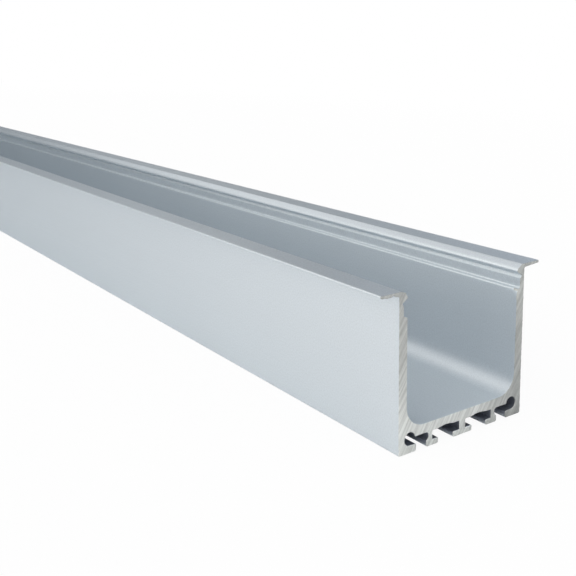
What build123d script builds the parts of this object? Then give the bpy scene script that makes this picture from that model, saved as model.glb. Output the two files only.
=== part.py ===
from build123d import *
from math import radians, tan
import os

# A recessed aluminium profile for LED strip, extruded as one piece and sawn to length.
# Millimetres. X runs along the profile, Y across it and Z up from the undersides of its feet.
# The section is drawn on the Y-Z plane, so a place in it is written (y, z), and it is the
# same on both sides of y = 0.

# Overall sizes
length = 1000.0
body_width = 30.0
height = 29.0
flange_reach = 4.0

# Walls, floor and the space below the floor
wall = 1.8
floor = 1.8
slot_height = 2.7
channel_corner_radius = 3.7

# Flanges that cover the edge of the groove the profile is let into
flange_root = 0.78
flange_tip = 0.46
flange_tip_radius = 0.22
flange_corner_radius = 0.3

# Seat for the snap-in cover, below each lip; a drop is measured down from the top
ledge_drop = 4.7
seat_wall = 1.0
seat_corner_radius = 0.3
ledge_edge_radius = 0.3
catch_depth = 0.35
catch_top_drop = 2.2
catch_bottom_drop = 2.7

# Lip along each side of the mouth: rounded at the top, with a slope that leads a cover in
lip_reach = 1.8
lip_radius = 1.2
lead_in_angle = 25.0
nose_drop = 1.55
nose_radius = 0.2
lip_root_drop = 2.3

# Ribs and feet under the floor
foot_thickness = 1.05
foot_corner_radius = 0.4
foot_edge_radius = 0.2
outer_corner_radius = 0.3
centre_rib = 1.5
centre_foot_width = 4.7
side_rib = 0.9
side_foot_width = 2.85
side_flare_radius = 1.0
slot_corner_radius = 0.2
side_slot_radius = 0.6

# T-slots either side of the centre rib, with a shallow relief in the ceiling above each mouth
t_slot_width = 6.5
t_slot_mouth = 3.5
relief_width = 3.7
relief_depth = 0.25

# Screw ports in the bottom corners, open to the slot beside them, and the feet under them
port_radius = 1.2
port_inset = 2.5
port_height = 2.6
corner_foot_reach = 4.0
corner_foot_root = 1.42
corner_foot_edge = 1.32

# How far a cut runs past the outline that it opens
overrun = 1.0

# The most of the room beside a corner that the corner's round may take up
round_share = 0.97

# Places that follow from the sizes above
outer_y = body_width / 2
flange_y = outer_y + flange_reach
inner_y = outer_y - wall
floor_z = slot_height + floor
ledge_z = height - ledge_drop
seat_y = outer_y - seat_wall
nose_y = outer_y - lip_reach
lip_top_y = nose_y + nose_drop * tan(radians(lead_in_angle))
t_slot_y = centre_rib / 2
side_rib_y = t_slot_y + t_slot_width
side_slot_y = side_rib_y + side_rib
mouth_y = centre_foot_width / 2
side_foot_y = mouth_y + t_slot_mouth
side_foot_edge_y = side_foot_y + side_foot_width
corner_foot_y = outer_y - corner_foot_reach
port_y = outer_y - port_inset


def area(y0, y1, z0, z1):
    """A rectangle of the section, from one corner to the other."""
    return Pos((y0 + y1) / 2, (z0 + z1) / 2) * Rectangle(y1 - y0, z1 - z0)


def outlined(*points):
    """A face with straight sides through the points."""
    return make_face(Polyline(*points, close=True))


def rounded(face, radius, *corners):
    """The face with its corners nearest to the given places rounded."""
    picked = [min(face.vertices(), key=lambda v: (v.X - y) ** 2 + (v.Y - z) ** 2) for y, z in corners]
    return fillet(picked, radius)


def fitted(radius, room):
    """A corner's radius, or less where the wall beside the corner has no room for it."""
    return min(radius, round_share * room)


def both_sides(face):
    """The face and its mirror image across the middle of the section."""
    return face + mirror(face, about=Plane.YZ)


def body_outline():
    """The outside of the profile: straight walls with a flange that thins towards its tip."""
    half = outlined(
        (0, 0),
        (outer_y, 0),
        (outer_y, height - flange_root),
        (flange_y, height - flange_tip),
        (flange_y, height),
        (0, height),
    )
    half = rounded(half, outer_corner_radius, (outer_y, 0))
    half = rounded(half, flange_corner_radius, (outer_y, height - flange_root))
    tip_radius = fitted(flange_tip_radius, flange_tip / 2)
    half = rounded(half, tip_radius, (flange_y, height - flange_tip), (flange_y, height))
    return both_sides(half)


def strip_channel():
    """The deep channel that holds the strip, up to the ledges, with large rounds at the bottom."""
    channel = area(-inner_y, inner_y, floor_z, ledge_z)
    return rounded(channel, channel_corner_radius, (-inner_y, floor_z), (inner_y, floor_z))


def cover_seat():
    """One half of the mouth above the ledges: the cover's seat, the catch above it and the lip."""
    seat = outlined(
        (0, ledge_z),
        (seat_y, ledge_z),
        (seat_y, height - catch_bottom_drop),
        (seat_y + catch_depth, height - catch_top_drop),
        (seat_y, height - lip_root_drop),
        (nose_y, height - nose_drop),
        (lip_top_y, height),
        (0, height),
    )
    seat = rounded(seat, seat_corner_radius, (seat_y, ledge_z))
    return rounded(seat, nose_radius, (nose_y, height - nose_drop))


def t_slot():
    """One T-slot: mouth, wider space inside, and a shallow arched relief in its ceiling."""
    inside = area(t_slot_y, side_rib_y, foot_thickness, slot_height)
    inside = rounded(inside, slot_corner_radius, (t_slot_y, slot_height), (side_rib_y, slot_height))
    mouth = area(mouth_y, side_foot_y, -overrun, slot_height)
    middle = (mouth_y + side_foot_y) / 2
    start = (middle - relief_width / 2, slot_height)
    end = (middle + relief_width / 2, slot_height)
    arch = ThreePointArc(start, (middle, slot_height + relief_depth), end)
    return inside + mouth + make_face(arch + Line(end, start))


def corner_slot():
    """The slot between side rib and corner foot, which opens into the screw port."""
    flare_radius = fitted(side_flare_radius, slot_height - foot_thickness - side_slot_radius)
    inside = area(side_slot_y, corner_foot_y, foot_thickness, slot_height)
    inside = rounded(inside, side_slot_radius, (side_slot_y, slot_height))
    inside = rounded(inside, flare_radius, (side_slot_y, foot_thickness))
    mouth = area(side_foot_edge_y, corner_foot_y, -overrun, slot_height)
    way_in = outlined(
        (corner_foot_y, corner_foot_edge),
        (port_y, corner_foot_root),
        (port_y, slot_height),
        (corner_foot_y, slot_height),
    )
    port = Pos(port_y, port_height) * Circle(port_radius)
    return inside + mouth + way_in + port


def section():
    """The whole cross-section, with the edges of its ledges and feet rounded."""
    face = body_outline() - strip_channel()
    for cut in (cover_seat(), t_slot(), corner_slot()):
        face -= both_sides(cut)
    foot_tops = {
        mouth_y: foot_thickness,
        side_foot_y: foot_thickness,
        side_foot_edge_y: foot_thickness,
        corner_foot_y: corner_foot_edge,
    }
    for side in (1, -1):
        face = rounded(face, foot_edge_radius, *[(side * y, z) for y, z in foot_tops.items()])
        face = rounded(face, foot_corner_radius, *[(side * y, 0) for y in foot_tops])
        face = rounded(face, ledge_edge_radius, (side * inner_y, ledge_z))
        face = rounded(face, lip_radius, (side * lip_top_y, height))
    return face


def led_profile():
    """The section run along the profile's length, half each way from the middle."""
    return extrude(Plane.YZ * section(), amount=length / 2, both=True)


os.makedirs("parts", exist_ok=True)
export_step(led_profile(), "parts/led_profile.step")
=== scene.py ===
"""A recessed aluminium profile for LED strip, with a pale floor, soft light and a camera."""

import math

import bmesh
import bpy
from bpy.props import FloatProperty, FloatVectorProperty, PointerProperty
from mathutils import Matrix, Vector


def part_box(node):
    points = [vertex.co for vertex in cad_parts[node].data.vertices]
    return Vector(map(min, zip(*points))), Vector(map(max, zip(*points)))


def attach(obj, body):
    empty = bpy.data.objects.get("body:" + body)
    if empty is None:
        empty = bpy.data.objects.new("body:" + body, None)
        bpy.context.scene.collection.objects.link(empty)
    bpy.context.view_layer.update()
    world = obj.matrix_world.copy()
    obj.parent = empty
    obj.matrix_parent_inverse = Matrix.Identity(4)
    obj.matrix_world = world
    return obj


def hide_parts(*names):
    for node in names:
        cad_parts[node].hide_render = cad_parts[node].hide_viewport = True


bl_info = {
    "name": "Recessed LED Profile",
    "version": (1, 0, 0),
    "blender": (4, 5, 0),
    "location": "3D View > Sidebar > LED Profile",
    "description": "Models a recessed aluminium LED profile with its finish, and a studio round it",
    "category": "Add Mesh",
}

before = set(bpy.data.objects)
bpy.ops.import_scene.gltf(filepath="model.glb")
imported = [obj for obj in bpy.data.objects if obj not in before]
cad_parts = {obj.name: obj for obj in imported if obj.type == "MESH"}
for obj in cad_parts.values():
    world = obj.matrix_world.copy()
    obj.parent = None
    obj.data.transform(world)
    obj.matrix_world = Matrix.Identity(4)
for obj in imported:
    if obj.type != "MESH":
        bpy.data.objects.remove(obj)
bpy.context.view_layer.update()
NODE = "led_profile"
CAD_LOW, CAD_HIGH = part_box(NODE)
MM = 0.001


def linear(hex_colour):
    """A linear colour with alpha from an sRGB hex value."""
    channels = [int(hex_colour[i : i + 2], 16) / 255 for i in (1, 3, 5)]
    return (*[c / 12.92 if c <= 0.04045 else ((c + 0.055) / 1.055) ** 2.4 for c in channels], 1.0)


def in_radians(degrees):
    """Three angles in radians, for a rotation."""
    return [math.radians(angle) for angle in degrees]


def length_property(name, description, default):
    """A size in metres that the sidebar shows in the scene's own unit."""
    return FloatProperty(
        name=name, description=description, default=default, min=0, unit="LENGTH", precision=5
    )


def colour_property(name, description, hex_colour):
    """A colour that the sidebar shows as a swatch."""
    return FloatVectorProperty(
        name=name,
        description=description,
        default=linear(hex_colour),
        size=4,
        min=0,
        max=1,
        subtype="COLOR",
    )


class ProfileSizes(bpy.types.PropertyGroup):
    """Sizes of the extruded section and of its sawn ends."""

    length: length_property("Length", "Sawn length along X", CAD_HIGH.x - CAD_LOW.x)
    height: length_property("Height", "From the feet to the flanges' tops", CAD_HIGH.z - CAD_LOW.z)
    body_width: length_property("Body width", "Width over the two outer walls", 30 * MM)
    flange_reach: length_property("Flange reach", "How far a flange stands past its wall", 4 * MM)
    wall: length_property("Wall", "Thickness of an outer wall", 1.8 * MM)
    floor: length_property("Floor", "Thickness of the channel's floor", 1.8 * MM)
    slot_height: length_property("Slot height", "From the feet to the slots' ceiling", 2.7 * MM)
    channel_round: length_property("Channel round", "Radius along the channel's bottom", 4.0 * MM)
    sawn_edge: length_property("Sawn edge", "Width of the broken edge round a sawn end", 0.08 * MM)
    raggedness: length_property("Raggedness", "How far the saw tears that edge about", 0.16 * MM)


class FinishColours(bpy.types.PropertyGroup):
    """Colours of the metal and of the studio."""

    anodised: colour_property("Anodised", "Silver anodised faces", "#E1E7EB")
    glancing: colour_property("Glancing", "What the etch keeps of a glancing reflection", "#D0D6DA")
    # Painted shade: the slots' colour is darker to stand in for the shade inside them
    slots: colour_property("Slots", "Dull anodising inside the slots under the floor", "#ADB3BF")
    sawn: colour_property("Sawn", "Bare metal of the sawn ends", "#D5D7D4")
    studio: colour_property("Studio", "Floor", "#FCFCFD")


def add_node(tree, kind, settings=None, inputs=None):
    """Adds a node with its settings, and its inputs as values or as links from other sockets."""
    node = tree.nodes.new(kind)
    for name, value in (settings or {}).items():
        setattr(node, name, value)
    for name, value in (inputs or {}).items():
        if isinstance(value, bpy.types.NodeSocket):
            tree.links.new(value, node.inputs[name])
        else:
            node.inputs[name].default_value = value
    return node


def empty_material(name):
    """A material with nothing in its node tree yet."""
    material = bpy.data.materials.new(name)
    material.use_nodes = True
    material.node_tree.nodes.clear()
    return material


def noise(tree, place, scale, detail, roughness=0.5):
    """A socket with a noise pattern of a scale in cells per metre."""
    inputs = {"Vector": place, "Scale": scale, "Detail": detail, "Roughness": roughness}
    return add_node(tree, "ShaderNodeTexNoise", inputs=inputs).outputs[0]


def calculate(tree, operation, *values):
    """A socket with the result of an operation on sockets or numbers."""
    inputs = dict(enumerate(values))
    return add_node(tree, "ShaderNodeMath", {"operation": operation}, inputs).outputs[0]


def ramp(tree, value, start, stop, low=0.0, high=1.0, kind="LINEAR"):
    """A socket that goes from low to high while a value goes from start to stop."""
    inputs = {"Value": value, "From Min": start, "From Max": stop, "To Min": low, "To Max": high}
    return add_node(tree, "ShaderNodeMapRange", {"interpolation_type": kind}, inputs).outputs[0]


def soft_ramp(tree, value, start, stop, low=0.0, high=1.0):
    """A ramp that starts and ends gently."""
    return ramp(tree, value, start, stop, low, high, kind="SMOOTHSTEP")


def mix(tree, share, first, second):
    """A socket between two numbers, by the second one's share."""
    inputs = {"Factor": share, "A": first, "B": second}
    return add_node(tree, "ShaderNodeMix", {"data_type": "FLOAT"}, inputs).outputs[0]


# Etched grain, coarser than the real one of near 0.05 mm, which is too fine to show
GRAIN_SIZE = 0.3 * MM
# Die lines run the whole length, and the oxide's sheen changes slowly from place to place
DIE_LINE_WIDTH = 0.4 * MM
DIE_LINE_LENGTH = 300 * MM
SHEEN_SIZE = 25 * MM
# Where the slots under the floor are, for their painted shade, each limit with its soft edge: off
# centre, above and below
SLOTS_OFF_CENTRE = (14.2 * MM, 13.8 * MM)
SLOTS_TOP = (3.9 * MM, 3.8 * MM)
SLOTS_BOTTOM = (0.1 * MM, 0.9 * MM)

# Saw marks climb to +Y, and are drawn from cells of this width and length
MARK_ANGLE = math.radians(58)
MARK_WIDTH = 0.55 * MM
MARK_LENGTH = 12 * MM
# Grain of the torn metal between the marks
TORN_SIZE = 0.5 * MM


def anodised_aluminium(colour, glancing_colour, slot_shade_colour):
    """Extruded aluminium, etched matt and then silver anodised.

    The etch leaves a fine grain that breaks reflections up softly, and takes some of a glancing
    one. The die leaves faint lines along the profile, and the oxide layer a slight change of sheen
    from place to place.
    """
    material = empty_material("silver_anodised_aluminium")
    tree = material.node_tree
    place = add_node(tree, "ShaderNodeTexCoord").outputs["Object"]

    grain = noise(tree, place, 1 / GRAIN_SIZE, detail=3.0, roughness=0.7)
    stretch = (1 / DIE_LINE_LENGTH, 1 / DIE_LINE_WIDTH, 1 / DIE_LINE_WIDTH)
    stretched = add_node(tree, "ShaderNodeMapping", inputs={"Vector": place, "Scale": stretch})
    lines = noise(tree, stretched.outputs[0], 1.0, detail=3.0, roughness=0.6)
    cloud = noise(tree, place, 1 / SHEEN_SIZE, detail=2.0)
    sheen = ramp(tree, lines, 0.3, 0.7, low=0.36, high=0.43)
    roughness = calculate(tree, "MULTIPLY_ADD", cloud, 0.05, sheen)
    speckle = ramp(tree, grain, 0.25, 0.75, low=0.915, high=1.085)

    # Painted shade: the slots under the floor get a darker colour that stands in for the shade
    # inside them
    split = add_node(tree, "ShaderNodeSeparateXYZ", inputs={0: place})
    off_centre = calculate(tree, "ABSOLUTE", split.outputs["Y"])
    inside = soft_ramp(tree, off_centre, *SLOTS_OFF_CENTRE)
    under = soft_ramp(tree, split.outputs["Z"], *SLOTS_TOP)
    above = soft_ramp(tree, split.outputs["Z"], *SLOTS_BOTTOM)
    slots = calculate(tree, "MULTIPLY", calculate(tree, "MULTIPLY", inside, under), above)
    slots_shaded = add_node(
        tree, "ShaderNodeMix", {"data_type": "RGBA"}, {0: slots, 6: colour, 7: slot_shade_colour}
    )
    tone = add_node(
        tree, "ShaderNodeVectorMath", {"operation": "SCALE"}, {0: slots_shaded.outputs[2], "Scale": speckle}
    )
    die_bump = add_node(
        tree, "ShaderNodeBump", inputs={"Height": lines, "Strength": 0.1, "Distance": 0.01 * MM}
    )
    bump = add_node(
        tree,
        "ShaderNodeBump",
        inputs={
            "Height": grain,
            "Strength": 0.35,
            "Distance": 0.02 * MM,
            "Normal": die_bump.outputs[0],
        },
    )
    # The finest die lines spread a reflection across the profile more than along it
    along = add_node(tree, "ShaderNodeCombineXYZ", inputs={"X": 1.0})
    shader = add_node(
        tree,
        "ShaderNodeBsdfPrincipled",
        inputs={
            "Base Color": tone.outputs[0],
            "Metallic": 0.8,
            "Specular Tint": glancing_colour,
            "Roughness": roughness,
            "Anisotropic": 0.7,
            "Anisotropic Rotation": 0.25,
            "Tangent": along.outputs[0],
            "Normal": bump.outputs[0],
        },
    )
    add_node(tree, "ShaderNodeOutputMaterial", inputs={"Surface": shader.outputs[0]})
    return material


def sawn_aluminium(colour):
    """Bare aluminium as a circular saw leaves it.

    Each tooth scores a slanting line in the bump, and painted light and shade in the colour make
    one flank lighter and the other darker. The thin flanges and lips shake under the blade, so the
    metal there is torn and duller.
    """
    material = empty_material("sawn_aluminium")
    tree = material.node_tree
    place = add_node(tree, "ShaderNodeTexCoord").outputs["Object"]
    turn = (-MARK_ANGLE, 0.0, 0.0)
    turned = add_node(tree, "ShaderNodeMapping", inputs={"Vector": place, "Rotation": turn})
    cells = (0.0, 1 / MARK_LENGTH, 1 / MARK_WIDTH)
    across = add_node(
        tree, "ShaderNodeMapping", inputs={"Vector": turned.outputs[0], "Scale": cells}
    )
    marks = noise(tree, across.outputs[0], 1.0, detail=2.0, roughness=0.6)
    torn = noise(tree, place, 1 / TORN_SIZE, detail=3.0, roughness=0.6)

    # The cut's tone changes with place: on the -Y wall it is brightest at the foot and darker going
    # up, and toward the +Y wall it is darker, a little lighter near the top
    split = add_node(tree, "ShaderNodeSeparateXYZ", inputs={0: place})
    minus_y_wall_tone = soft_ramp(tree, split.outputs["Z"], 0.0, 22 * MM, low=1.24, high=0.79)
    leave = ramp(tree, split.outputs["Z"], 12 * MM, 26 * MM, low=0.7, high=0.82)
    crossing = soft_ramp(tree, split.outputs["Y"], 0.0, 15 * MM)
    cut_place_tone = mix(tree, crossing, minus_y_wall_tone, leave)
    # Painted light and shade: each mark's flanks lighter and darker in colour, besides the bump
    flank_light_and_shade = ramp(tree, marks, 0.35, 0.65, low=0.79, high=1.09)
    shade = calculate(tree, "MULTIPLY", flank_light_and_shade, cut_place_tone)
    tone = add_node(
        tree, "ShaderNodeVectorMath", {"operation": "SCALE"}, {0: colour[:3], "Scale": shade}
    )
    roughness = ramp(tree, torn, 0.3, 0.7, low=0.42, high=0.6)
    scored = add_node(
        tree, "ShaderNodeBump", inputs={"Height": marks, "Strength": 0.5, "Distance": 0.05 * MM}
    )
    bump = add_node(
        tree,
        "ShaderNodeBump",
        inputs={
            "Height": torn,
            "Strength": 0.4,
            "Distance": 0.03 * MM,
            "Normal": scored.outputs[0],
        },
    )
    shader = add_node(
        tree,
        "ShaderNodeBsdfPrincipled",
        inputs={
            "Base Color": tone.outputs[0],
            "Metallic": 1.0,
            "Roughness": roughness,
            "Normal": bump.outputs[0],
        },
    )
    add_node(tree, "ShaderNodeOutputMaterial", inputs={"Surface": shader.outputs[0]})
    return material


# Smaller sizes of the section, which the sidebar leaves out. A drop is measured down from the top.
FLANGE_ROOT = 0.78 * MM
FLANGE_TIP = 0.46 * MM
FLANGE_TIP_ROUND = 0.22 * MM
FLANGE_CORNER_ROUND = 0.3 * MM
LEDGE_DROP = 4.58 * MM
SEAT_WALL = 1.0 * MM
SEAT_ROUND = 0.3 * MM
LEDGE_ROUND = 0.3 * MM
CATCH_DEPTH = 0.35 * MM
CATCH_TOP_DROP = 2.15 * MM
CATCH_BOTTOM_DROP = 2.7 * MM
LIP_REACH = 1.88 * MM
LIP_CROWN_INSET = 0.5 * MM
LIP_CROWN_ROUND = 0.4 * MM
LIP_CROWN_ANGLE = math.radians(36)
LIP_ROUND = 0.76 * MM
LEAD_IN_ANGLE = math.radians(18)
NOSE_DROP = 1.36 * MM
NOSE_ROUND = 0.3 * MM
LIP_ROOT_DROP = 1.92 * MM
FOOT_THICKNESS = 1.05 * MM
FOOT_ROUND = 0.4 * MM
FOOT_EDGE_ROUND = 0.2 * MM
OUTER_ROUND = 0.3 * MM
CENTRE_RIB = 1.5 * MM
CENTRE_FOOT_WIDTH = 4.7 * MM
SIDE_RIB = 0.9 * MM
SIDE_FOOT_WIDTH = 2.85 * MM
SIDE_FLARE_ROUND = 1.0 * MM
SLOT_ROUND = 0.2 * MM
SIDE_SLOT_ROUND = 0.6 * MM
T_SLOT_WIDTH = 6.5 * MM
T_SLOT_MOUTH = 3.5 * MM
RELIEF_WIDTH = 3.7 * MM
RELIEF_DEPTH = 0.25 * MM
PORT_RADIUS = 1.2 * MM
PORT_INSET = 2.5 * MM
PORT_HEIGHT = 2.6 * MM
CORNER_FOOT_REACH = 4.0 * MM
CORNER_FOOT_ROOT = 1.42 * MM
CORNER_FOOT_EDGE = 1.32 * MM

# A round larger than this is drawn in the finer of the two steps
LARGE_ROUND = 0.9 * MM
FINE_STEP = math.radians(8)
COARSE_STEP = math.radians(18)

# Places closer than this are one place
SAME_PLACE = 0.0001 * MM
# How near to a plane a vertex lies to count as on it
ON_PLANE = 0.001 * MM

# Longest edge round a cut, and the size of the cloud pattern that makes those edges ragged
EDGE_STEP = 0.35 * MM
CLOUD_SIZE = 0.45 * MM
# A face's normal has more than this along X on an end's flat, and anywhere on a cut
FLAT_NORMAL = 0.9
CUT_NORMAL = 0.2
# Faces that meet at less than this angle are shaded as one
SMOOTH_ANGLE = math.radians(30)

# How far from a cut the saw can tear the metal
TEAR_DEPTH = 0.8 * MM
# Torn places round the +X end in millimetres: where (y, z), how far pulled (y, z), and how wide
TEARS = (
    ((-13.9, 28.75), (0.4, 0.0), 0.75),
    ((-16.3, 28.32), (0.1, 0.32), 0.45),
    ((-17.4, 28.4), (0.0, -0.14), 0.45),
    ((-18.4, 28.5), (0.0, -0.12), 0.4),
    ((-14.0, 24.0), (0.0, 0.2), 0.5),
    ((-15.0, 1.1), (0.22, 0.0), 0.45),
    ((13.2, 24.3), (0.3, -0.25), 0.55),
    ((13.2, 22.6), (-0.15, 0.0), 0.6),
    ((14.0, 26.6), (0.15, 0.0), 0.45),
    ((18.95, 28.75), (-0.25, 0.0), 0.4),
)


def half_section(s):
    """Steps of half the section, from the middle of its underside round to the channel's middle.

    A step is a corner (y, z, radius), or an arc from y, z (y, z, centre y, centre z, sweep).
    """
    outer = s.body_width / 2
    slot, top = s.slot_height, s.height

    # T-slot beside the centre rib, with its arched relief
    mouth = CENTRE_FOOT_WIDTH / 2
    rib = CENTRE_RIB / 2
    side_rib = rib + T_SLOT_WIDTH
    side_foot = mouth + T_SLOT_MOUTH
    middle = (mouth + side_foot) / 2
    chord = RELIEF_WIDTH / 2
    arch = (chord**2 + RELIEF_DEPTH**2) / (2 * RELIEF_DEPTH)
    steps = [
        (mouth, 0, FOOT_ROUND),
        (mouth, FOOT_THICKNESS, FOOT_EDGE_ROUND),
        (rib, FOOT_THICKNESS, 0),
        (rib, slot, SLOT_ROUND),
        (middle - chord, slot, middle, slot + RELIEF_DEPTH - arch, -2 * math.asin(chord / arch)),
        (side_rib, slot, SLOT_ROUND),
        (side_rib, FOOT_THICKNESS, 0),
        (side_foot, FOOT_THICKNESS, FOOT_EDGE_ROUND),
        (side_foot, 0, FOOT_ROUND),
    ]

    # Side foot, whose top flares into the side rib
    foot_edge = side_foot + SIDE_FOOT_WIDTH
    side_slot = side_rib + SIDE_RIB
    flare = Vector((side_slot + SIDE_FLARE_ROUND, FOOT_THICKNESS + SIDE_FLARE_ROUND))
    reach = SIDE_FLARE_ROUND + FOOT_EDGE_ROUND
    lean = math.asin((flare.x - foot_edge + FOOT_EDGE_ROUND) / reach)
    edge = Vector((foot_edge - FOOT_EDGE_ROUND, flare.y - reach * math.cos(lean)))
    meet = flare - SIDE_FLARE_ROUND * Vector((math.sin(lean), math.cos(lean)))
    steps += [
        (foot_edge, 0, FOOT_ROUND),
        (foot_edge, edge.y, *edge, math.pi / 2 - lean),
        (*meet, *flare, lean - math.pi / 2),
        (side_slot, slot, SIDE_SLOT_ROUND),
    ]

    # Screw port, open to the slot along the top of the corner foot
    port = Vector((outer - PORT_INSET, PORT_HEIGHT))
    foot = outer - CORNER_FOOT_REACH
    start = Vector((foot, CORNER_FOOT_EDGE))
    along = (Vector((port.x, CORNER_FOOT_ROOT)) - start).normalized()
    nearest = (port - start).dot(along)
    clear = (port - start).length_squared - nearest**2
    leave = start + along * (nearest - math.sqrt(PORT_RADIUS**2 - clear))
    enter = Vector((port.x - math.sqrt(PORT_RADIUS**2 - (slot - port.y) ** 2), slot))
    # The port's arc runs from the slot's ceiling round to the top of the corner foot
    sweep = math.atan2(leave.y - port.y, leave.x - port.x)
    sweep -= math.atan2(enter.y - port.y, enter.x - port.x)
    steps += [
        (*enter, *port, sweep),
        (*start, FOOT_EDGE_ROUND),
        (foot, 0, FOOT_ROUND),
    ]

    # Outer wall, flange, lip, cover seat and channel
    seat = outer - SEAT_WALL
    nose = outer - LIP_REACH
    inner = outer - s.wall
    # The lip falls away from beside the wall, and then rounds down to its nose
    crown = outer - LIP_CROWN_INSET
    lead_in = nose + NOSE_DROP * math.tan(LEAD_IN_ANGLE)
    fall, steep = math.tan(LIP_CROWN_ANGLE), math.tan(LEAD_IN_ANGLE)
    brow = lead_in - (crown - lead_in) * fall * steep / (1 - fall * steep)
    steps += [
        (outer, 0, OUTER_ROUND),
        (outer, top - FLANGE_ROOT, FLANGE_CORNER_ROUND),
        (outer + s.flange_reach, top - FLANGE_TIP, FLANGE_TIP_ROUND),
        (outer + s.flange_reach, top, FLANGE_TIP_ROUND),
        (crown, top, LIP_CROWN_ROUND),
        (brow, top - (crown - brow) * fall, LIP_ROUND),
        (nose, top - NOSE_DROP, NOSE_ROUND),
        (seat, top - LIP_ROOT_DROP, 0),
        (seat + CATCH_DEPTH, top - CATCH_TOP_DROP, 0),
        (seat, top - CATCH_BOTTOM_DROP, 0),
        (seat, top - LEDGE_DROP, SEAT_ROUND),
        (inner, top - LEDGE_DROP, LEDGE_ROUND),
        (inner, slot + s.floor, s.channel_round),
        (0, slot + s.floor, 0),
    ]
    return steps


def draw_chain(x, start, steps):
    """Draws a chain of edges on the plane at x: a vertex extruded from step to step, or spun."""
    bpy.ops.object.select_all(action="DESELECT")
    bpy.ops.mesh.primitive_plane_add(size=MM, location=(x, start[0], start[1]))
    bpy.ops.object.transform_apply()
    bpy.ops.object.mode_set(mode="EDIT")
    bpy.ops.mesh.select_all(action="SELECT")
    bpy.ops.mesh.merge(type="CENTER")
    at = Vector(start)

    def go_to(place):
        move = place - at
        if move.length > SAME_PLACE:
            value = (0, move.x, move.y)
            bpy.ops.mesh.extrude_region_move(TRANSFORM_OT_translate={"value": value})
        return place.copy()

    def spin_round(centre, sweep, radius):
        longest = FINE_STEP if radius > LARGE_ROUND else COARSE_STEP
        count = max(2, math.ceil(abs(sweep) / longest))
        bpy.ops.mesh.spin(steps=count, angle=-sweep, center=(x, centre.x, centre.y), axis=(1, 0, 0))
        return centre + Matrix.Rotation(sweep, 2) @ (at - centre)

    for i, step in enumerate(steps):
        place = Vector(step[:2])
        if len(step) == 5:
            at = go_to(place)
            centre = Vector(step[2:4])
            at = spin_round(centre, step[4], (at - centre).length)
        elif not step[2]:
            at = go_to(place)
        else:
            back = (at - place).normalized()
            ahead = (Vector(steps[i + 1][:2]) - place).normalized()
            half_angle = back.angle(ahead) / 2
            turn = math.pi - 2 * half_angle
            side = 1 if back.x * ahead.y - back.y * ahead.x < 0 else -1
            at = go_to(place + back * step[2] / math.tan(half_angle))
            centre = place + (back + ahead).normalized() * step[2] / math.sin(half_angle)
            at = spin_round(centre, side * turn, step[2])
    bpy.ops.object.mode_set(mode="OBJECT")
    return bpy.context.object


def select(kind, wanted):
    """Selects what passes a test in edit mode: verts, edges or faces."""
    bpy.ops.mesh.select_mode(type={"verts": "VERT", "edges": "EDGE", "faces": "FACE"}[kind])
    bpy.ops.mesh.select_all(action="DESELECT")
    data = bpy.context.object.data
    mesh = bmesh.from_edit_mesh(data)
    found = [element for element in getattr(mesh, kind) if wanted(element)]
    if not found:
        raise RuntimeError(f"no {kind} to select")
    for element in found:
        element.select_set(True)
    bmesh.update_edit_mesh(data)


def divide_edges(step):
    """Divides the edges longer than a step, so that a sawn edge can be ragged along them."""
    mesh = bmesh.from_edit_mesh(bpy.context.object.data)
    counts = {math.ceil(edge.calc_length() / step) - 1 for edge in mesh.edges}
    for count in sorted(counts - {0}):
        select("edges", lambda edge: math.ceil(edge.calc_length() / step) - 1 == count)
        bpy.ops.mesh.subdivide(number_cuts=count)


def apply_modifier(obj, name, kind, **settings):
    """Adds a modifier with its settings and applies it."""
    modifier = obj.modifiers.new(name, kind)
    for setting, value in settings.items():
        setattr(modifier, setting, value)
    bpy.ops.object.modifier_apply(modifier=modifier.name)


def vertex_group(obj, name, wanted):
    """A vertex group of the vertices that pass a test."""
    group = obj.vertex_groups.new(name=name)
    group.add([v.index for v in obj.data.vertices if wanted(v.co)], 1.0, "REPLACE")
    return group.name


def cloud_texture(name, size, basis):
    """A cloud pattern of a size in metres that a displacement follows."""
    texture = bpy.data.textures.new(name, "CLOUDS")
    texture.noise_scale = size
    texture.noise_basis = basis
    texture.noise_depth = 1
    return texture


def run_section(sizes):
    """The section mirrored, filled and run along X, with a slope round each sawn end."""
    shoulder = sizes.length / 2 - sizes.sawn_edge
    profile = draw_chain(-shoulder, (0.0, 0.0), half_section(sizes))
    profile.name = profile.data.name = "aluminium_profile"
    apply_modifier(
        profile, "Mirror", "MIRROR", use_axis=(False, True, False), merge_threshold=ON_PLANE
    )

    bpy.ops.object.mode_set(mode="EDIT")
    divide_edges(EDGE_STEP)
    bpy.ops.mesh.select_all(action="SELECT")
    bpy.ops.mesh.edge_face_add()
    # A ring past the reach of the tears keeps their tilt out of the long faces' shading
    near, next_to = TEAR_DEPTH, TEAR_DEPTH / 2
    for length in (near, next_to, 2 * (shoulder - near - next_to), next_to, near):
        bpy.ops.mesh.extrude_region_move(TRANSFORM_OT_translate={"value": (length, 0, 0)})
    bpy.ops.mesh.select_all(action="SELECT")
    bpy.ops.mesh.normals_make_consistent(inside=False)
    for side in (1, -1):
        select(
            "faces",
            lambda face: face.normal.x * side > FLAT_NORMAL
            and face.calc_center_median().x * side > 0,
        )
        bpy.ops.mesh.inset(thickness=sizes.sawn_edge, depth=sizes.sawn_edge, use_even_offset=True)
    bpy.ops.object.mode_set(mode="OBJECT")
    return profile


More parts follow.
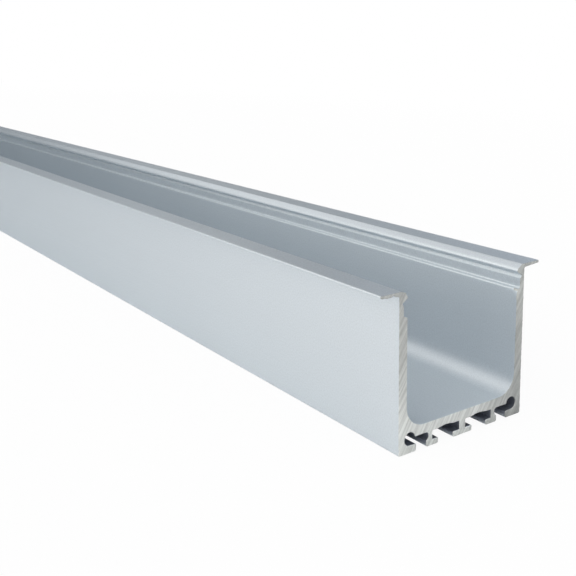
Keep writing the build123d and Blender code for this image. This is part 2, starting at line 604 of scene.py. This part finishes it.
def roughen_ends(profile, sizes):
    """Lets the torn edge wander over the cut, and its width change along the faces beside it."""
    end = sizes.length / 2
    shoulder = end - sizes.sawn_edge
    rim = vertex_group(profile, "sawn_rim", lambda co: abs(co.x) > end - ON_PLANE)
    side = vertex_group(profile, "sawn_side", lambda co: abs(abs(co.x) - shoulder) < ON_PLANE)
    for name, direction, group, basis, share in (
        ("Across", "Y", rim, "BLENDER_ORIGINAL", 1.0),
        ("Up", "Z", rim, "IMPROVED_PERLIN", 1.0),
        ("Along", "X", side, "ORIGINAL_PERLIN", 0.6),
    ):
        apply_modifier(
            profile,
            name,
            "DISPLACE",
            texture=cloud_texture(f"saw_{name.lower()}", CLOUD_SIZE, basis),
            texture_coords="LOCAL",
            direction=direction,
            mid_level=0.5,
            strength=sizes.raggedness * share,
            vertex_group=group,
        )
    profile.vertex_groups.clear()


def tear_end(profile, end):
    """Pulls the rim of the cut at +X about in the places where the saw tore it."""
    bpy.ops.object.mode_set(mode="EDIT")
    for (y, z), (across, up), reach in TEARS:
        place = Vector((end, y * MM, z * MM))
        mesh = bmesh.from_edit_mesh(profile.data)
        rim = [vert.co for vert in mesh.verts if vert.co.x > end - ON_PLANE]
        nearest = min(rim, key=lambda co: (co - place).length).copy()
        select("verts", lambda vert: vert.co == nearest)
        bpy.ops.transform.translate(
            value=(0.0, across * MM, up * MM),
            use_proportional_edit=True,
            proportional_edit_falloff="SMOOTH",
            proportional_size=reach * MM,
        )
    bpy.ops.object.mode_set(mode="OBJECT")


def finish_faces(profile, colours):
    """Gives the profile its anodised sides and its sawn ends."""
    profile.data.materials.append(
        anodised_aluminium(colours.anodised, colours.glancing, colours.slots)
    )
    profile.data.materials.append(sawn_aluminium(colours.sawn))
    # A sharp edge all round each cut, or the torn edge would tilt the shading of the long faces
    bpy.ops.object.mode_set(mode="EDIT")
    select("faces", lambda face: abs(face.normal.x) > CUT_NORMAL)
    profile.active_material_index = 1
    bpy.ops.object.material_slot_assign()
    bpy.ops.mesh.region_to_loop()
    bpy.ops.mesh.mark_sharp()
    bpy.ops.object.mode_set(mode="OBJECT")
    bpy.ops.object.shade_smooth_by_angle(angle=SMOOTH_ANGLE)


class LEDPROFILE_OT_profile(bpy.types.Operator):
    """Draw half the section, mirror it, run it along X and break the edges of its two sawn ends"""

    bl_idname = "ledprofile.profile"
    bl_label = "Add Profile"
    bl_options = {"REGISTER", "UNDO"}

    def execute(self, context):
        sizes = context.scene.led_profile_sizes
        profile = run_section(sizes)
        roughen_ends(profile, sizes)
        tear_end(profile, sizes.length / 2)
        finish_faces(profile, context.scene.led_profile_colours)
        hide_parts(NODE)
        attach(profile, "root")
        return {"FINISHED"}


# Light from all round on diffuse surfaces, where the softbox adds the rest of a plain level
AMBIENT_LIGHT = 0.85
# How much of the floor's own shadow the camera sees as white
SHADOW_FADE = 0.93
WHITE = (1.0, 1.0, 1.0, 1.0)
FLOOR_SIZE = 8.0
# The floor lies this far below the feet, so that the two don't share a plane
FLOOR_DROP = 0.05 * MM
# Half the length and half the width of the lit patch of floor round the profile, in metres, and
# how far out in it the fade to white starts
LIT_PATCH = (1.1, 0.6)
FADE_START = 0.55
# Daylight white of the room, and the softbox's slightly warmer white
CARD_COLOUR = "#DEECFF"
SOFTBOX_COLOUR = "#FFFFF6"
SOFTBOX_LEVEL = 0.47
SOFTBOX_SIZE = (2.8, 1.3)


def white_rays(tree):
    """Sockets for the camera's rays, and for all rays that see plain white."""
    path = add_node(tree, "ShaderNodeLightPath").outputs
    mirrored = calculate(tree, "MAXIMUM", path["Is Glossy Ray"], path["Is Transmission Ray"])
    return path["Is Camera Ray"], calculate(tree, "MAXIMUM", path["Is Camera Ray"], mirrored)


def studio_floor(colour):
    """Seamless white paper: near the profile it takes light and shadow, further off it is white."""
    material = empty_material("studio_paper")
    tree = material.node_tree
    camera_ray, seen = white_rays(tree)
    place = add_node(tree, "ShaderNodeTexCoord").outputs["Object"]
    patch = (1 / LIT_PATCH[0], 1 / LIT_PATCH[1], 0.0)
    spread = add_node(tree, "ShaderNodeMapping", inputs={"Vector": place, "Scale": patch})
    away = add_node(tree, "ShaderNodeVectorMath", {"operation": "LENGTH"}, {0: spread.outputs[0]})
    far = soft_ramp(tree, away.outputs["Value"], FADE_START, 1.0)
    # The camera sees mostly the white and a share of the shadow, and metal sees the paper as lit
    near = calculate(tree, "MULTIPLY", camera_ray, SHADOW_FADE)
    whitened = mix(tree, far, near, seen)
    paper = add_node(tree, "ShaderNodeBsdfDiffuse", inputs={"Color": colour, "Roughness": 1.0})
    white = add_node(tree, "ShaderNodeEmission", inputs={"Color": WHITE, "Strength": 1.0})
    both = add_node(
        tree, "ShaderNodeMixShader", inputs={0: whitened, 1: paper.outputs[0], 2: white.outputs[0]}
    )
    add_node(tree, "ShaderNodeOutputMaterial", inputs={"Surface": both.outputs[0]})
    return material


def studio_world():
    """White to the camera and in reflections, and a plain grey light for the rest."""
    world = bpy.data.worlds.new("studio_world")
    world.use_nodes = True
    tree = world.node_tree
    tree.nodes.clear()
    _, seen = white_rays(tree)
    strength = mix(tree, seen, AMBIENT_LIGHT, 1.0)
    backdrop = add_node(
        tree, "ShaderNodeBackground", inputs={"Color": WHITE, "Strength": strength}
    )
    add_node(tree, "ShaderNodeOutputWorld", inputs={"Surface": backdrop.outputs[0]})
    return world


def reflector(name, location, rotation, size, dark, pale):
    """A card that only reflections see, grey enough to darken a face that looks at it.

    Its grey goes softly from dark at its left edge to pale at its right edge.
    """
    bpy.ops.object.select_all(action="DESELECT")
    bpy.ops.mesh.primitive_plane_add(size=1.0, location=location, rotation=in_radians(rotation))
    card = bpy.context.object
    card.name = name
    card.scale = (*size, 1.0)
    bpy.ops.object.transform_apply(location=False, rotation=False)
    material = empty_material(name)
    tree = material.node_tree
    place = add_node(tree, "ShaderNodeTexCoord").outputs["UV"]
    across = add_node(tree, "ShaderNodeSeparateXYZ", inputs={0: place}).outputs["X"]
    strength = soft_ramp(tree, across, 0.0, 1.0, low=dark, high=pale)
    glow = add_node(
        tree, "ShaderNodeEmission", inputs={"Color": linear(CARD_COLOUR), "Strength": strength}
    )
    add_node(tree, "ShaderNodeOutputMaterial", inputs={"Surface": glow.outputs[0]})
    card.data.materials.append(material)
    for rays in ("camera", "diffuse", "transmission", "volume_scatter", "shadow"):
        setattr(card, f"visible_{rays}", False)


class LEDPROFILE_OT_stage(bpy.types.Operator):
    """Add the floor, the soft light, the backdrop and the camera"""

    bl_idname = "ledprofile.stage"
    bl_label = "Add Studio"
    bl_options = {"REGISTER", "UNDO"}

    def execute(self, context):
        scene = context.scene
        colours = scene.led_profile_colours
        scene.view_settings.view_transform = "Standard"
        scene.world = studio_world()

        bpy.ops.object.select_all(action="DESELECT")
        bpy.ops.mesh.primitive_plane_add(size=FLOOR_SIZE, location=(0.0, 0.0, -FLOOR_DROP))
        floor = context.object
        floor.name = "studio_floor"
        floor.data.materials.append(studio_floor(colours.studio))

        reflector("dark_card_behind", (-0.2, 0.9, 0.8), (90, 0, 0), (2.6, 1.6), 0.07, 0.87)
        reflector("dark_card_left", (-1.5, -0.05, 0.4), (90, 0, 90), (1.9, 0.8), 0.2, 0.2)
        reflector("dark_card_above", (-0.2, 0.6, 1.6), (0, 0, 0), (2.6, 1.1), 0.15, 0.85)

        bpy.ops.object.light_add(
            type="AREA", location=(0.1, -1.35, 0.7), rotation=in_radians((80, 0, 0))
        )
        softbox = context.object
        softbox.name = "softbox_front"
        softbox.data.shape = "RECTANGLE"
        softbox.data.size, softbox.data.size_y = SOFTBOX_SIZE
        softbox.data.color = linear(SOFTBOX_COLOUR)[:3]
        softbox.data.energy = SOFTBOX_LEVEL * math.pi * SOFTBOX_SIZE[0] * SOFTBOX_SIZE[1]

        bpy.ops.object.camera_add(
            location=(0.60417, -0.10627, 0.07004),
            rotation=in_radians((78.498, 0.824, 54.706)),
        )
        camera = context.object
        camera.name = "camera"
        camera.data.lens = 55.083
        camera.data.shift_x, camera.data.shift_y = -0.0347, -0.1267
        camera.data.clip_start = 0.01
        scene.camera = camera
        return {"FINISHED"}


class LEDPROFILE_PT_sidebar(bpy.types.Panel):
    """Sizes, colours and buttons in the 3D view's sidebar"""

    bl_idname = "LEDPROFILE_PT_sidebar"
    bl_label = "Recessed LED Profile"
    bl_space_type = "VIEW_3D"
    bl_region_type = "UI"
    bl_category = "LED Profile"

    def draw(self, context):
        for group in (context.scene.led_profile_sizes, context.scene.led_profile_colours):
            column = self.layout.column()
            for name in group.__annotations__:
                column.prop(group, name)
        for operator in (LEDPROFILE_OT_profile, LEDPROFILE_OT_stage):
            self.layout.operator(operator.bl_idname)


CLASSES = (
    ProfileSizes,
    FinishColours,
    LEDPROFILE_OT_profile,
    LEDPROFILE_OT_stage,
    LEDPROFILE_PT_sidebar,
)


def register():
    for cls in CLASSES:
        bpy.utils.register_class(cls)
    bpy.types.Scene.led_profile_sizes = PointerProperty(type=ProfileSizes)
    bpy.types.Scene.led_profile_colours = PointerProperty(type=FinishColours)


def unregister():
    del bpy.types.Scene.led_profile_colours
    del bpy.types.Scene.led_profile_sizes
    for cls in reversed(CLASSES):
        bpy.utils.unregister_class(cls)


def main():
    """Builds everything."""
    register()
    bpy.ops.ledprofile.profile()
    bpy.ops.ledprofile.stage()


if __name__ == "__main__":
    main()
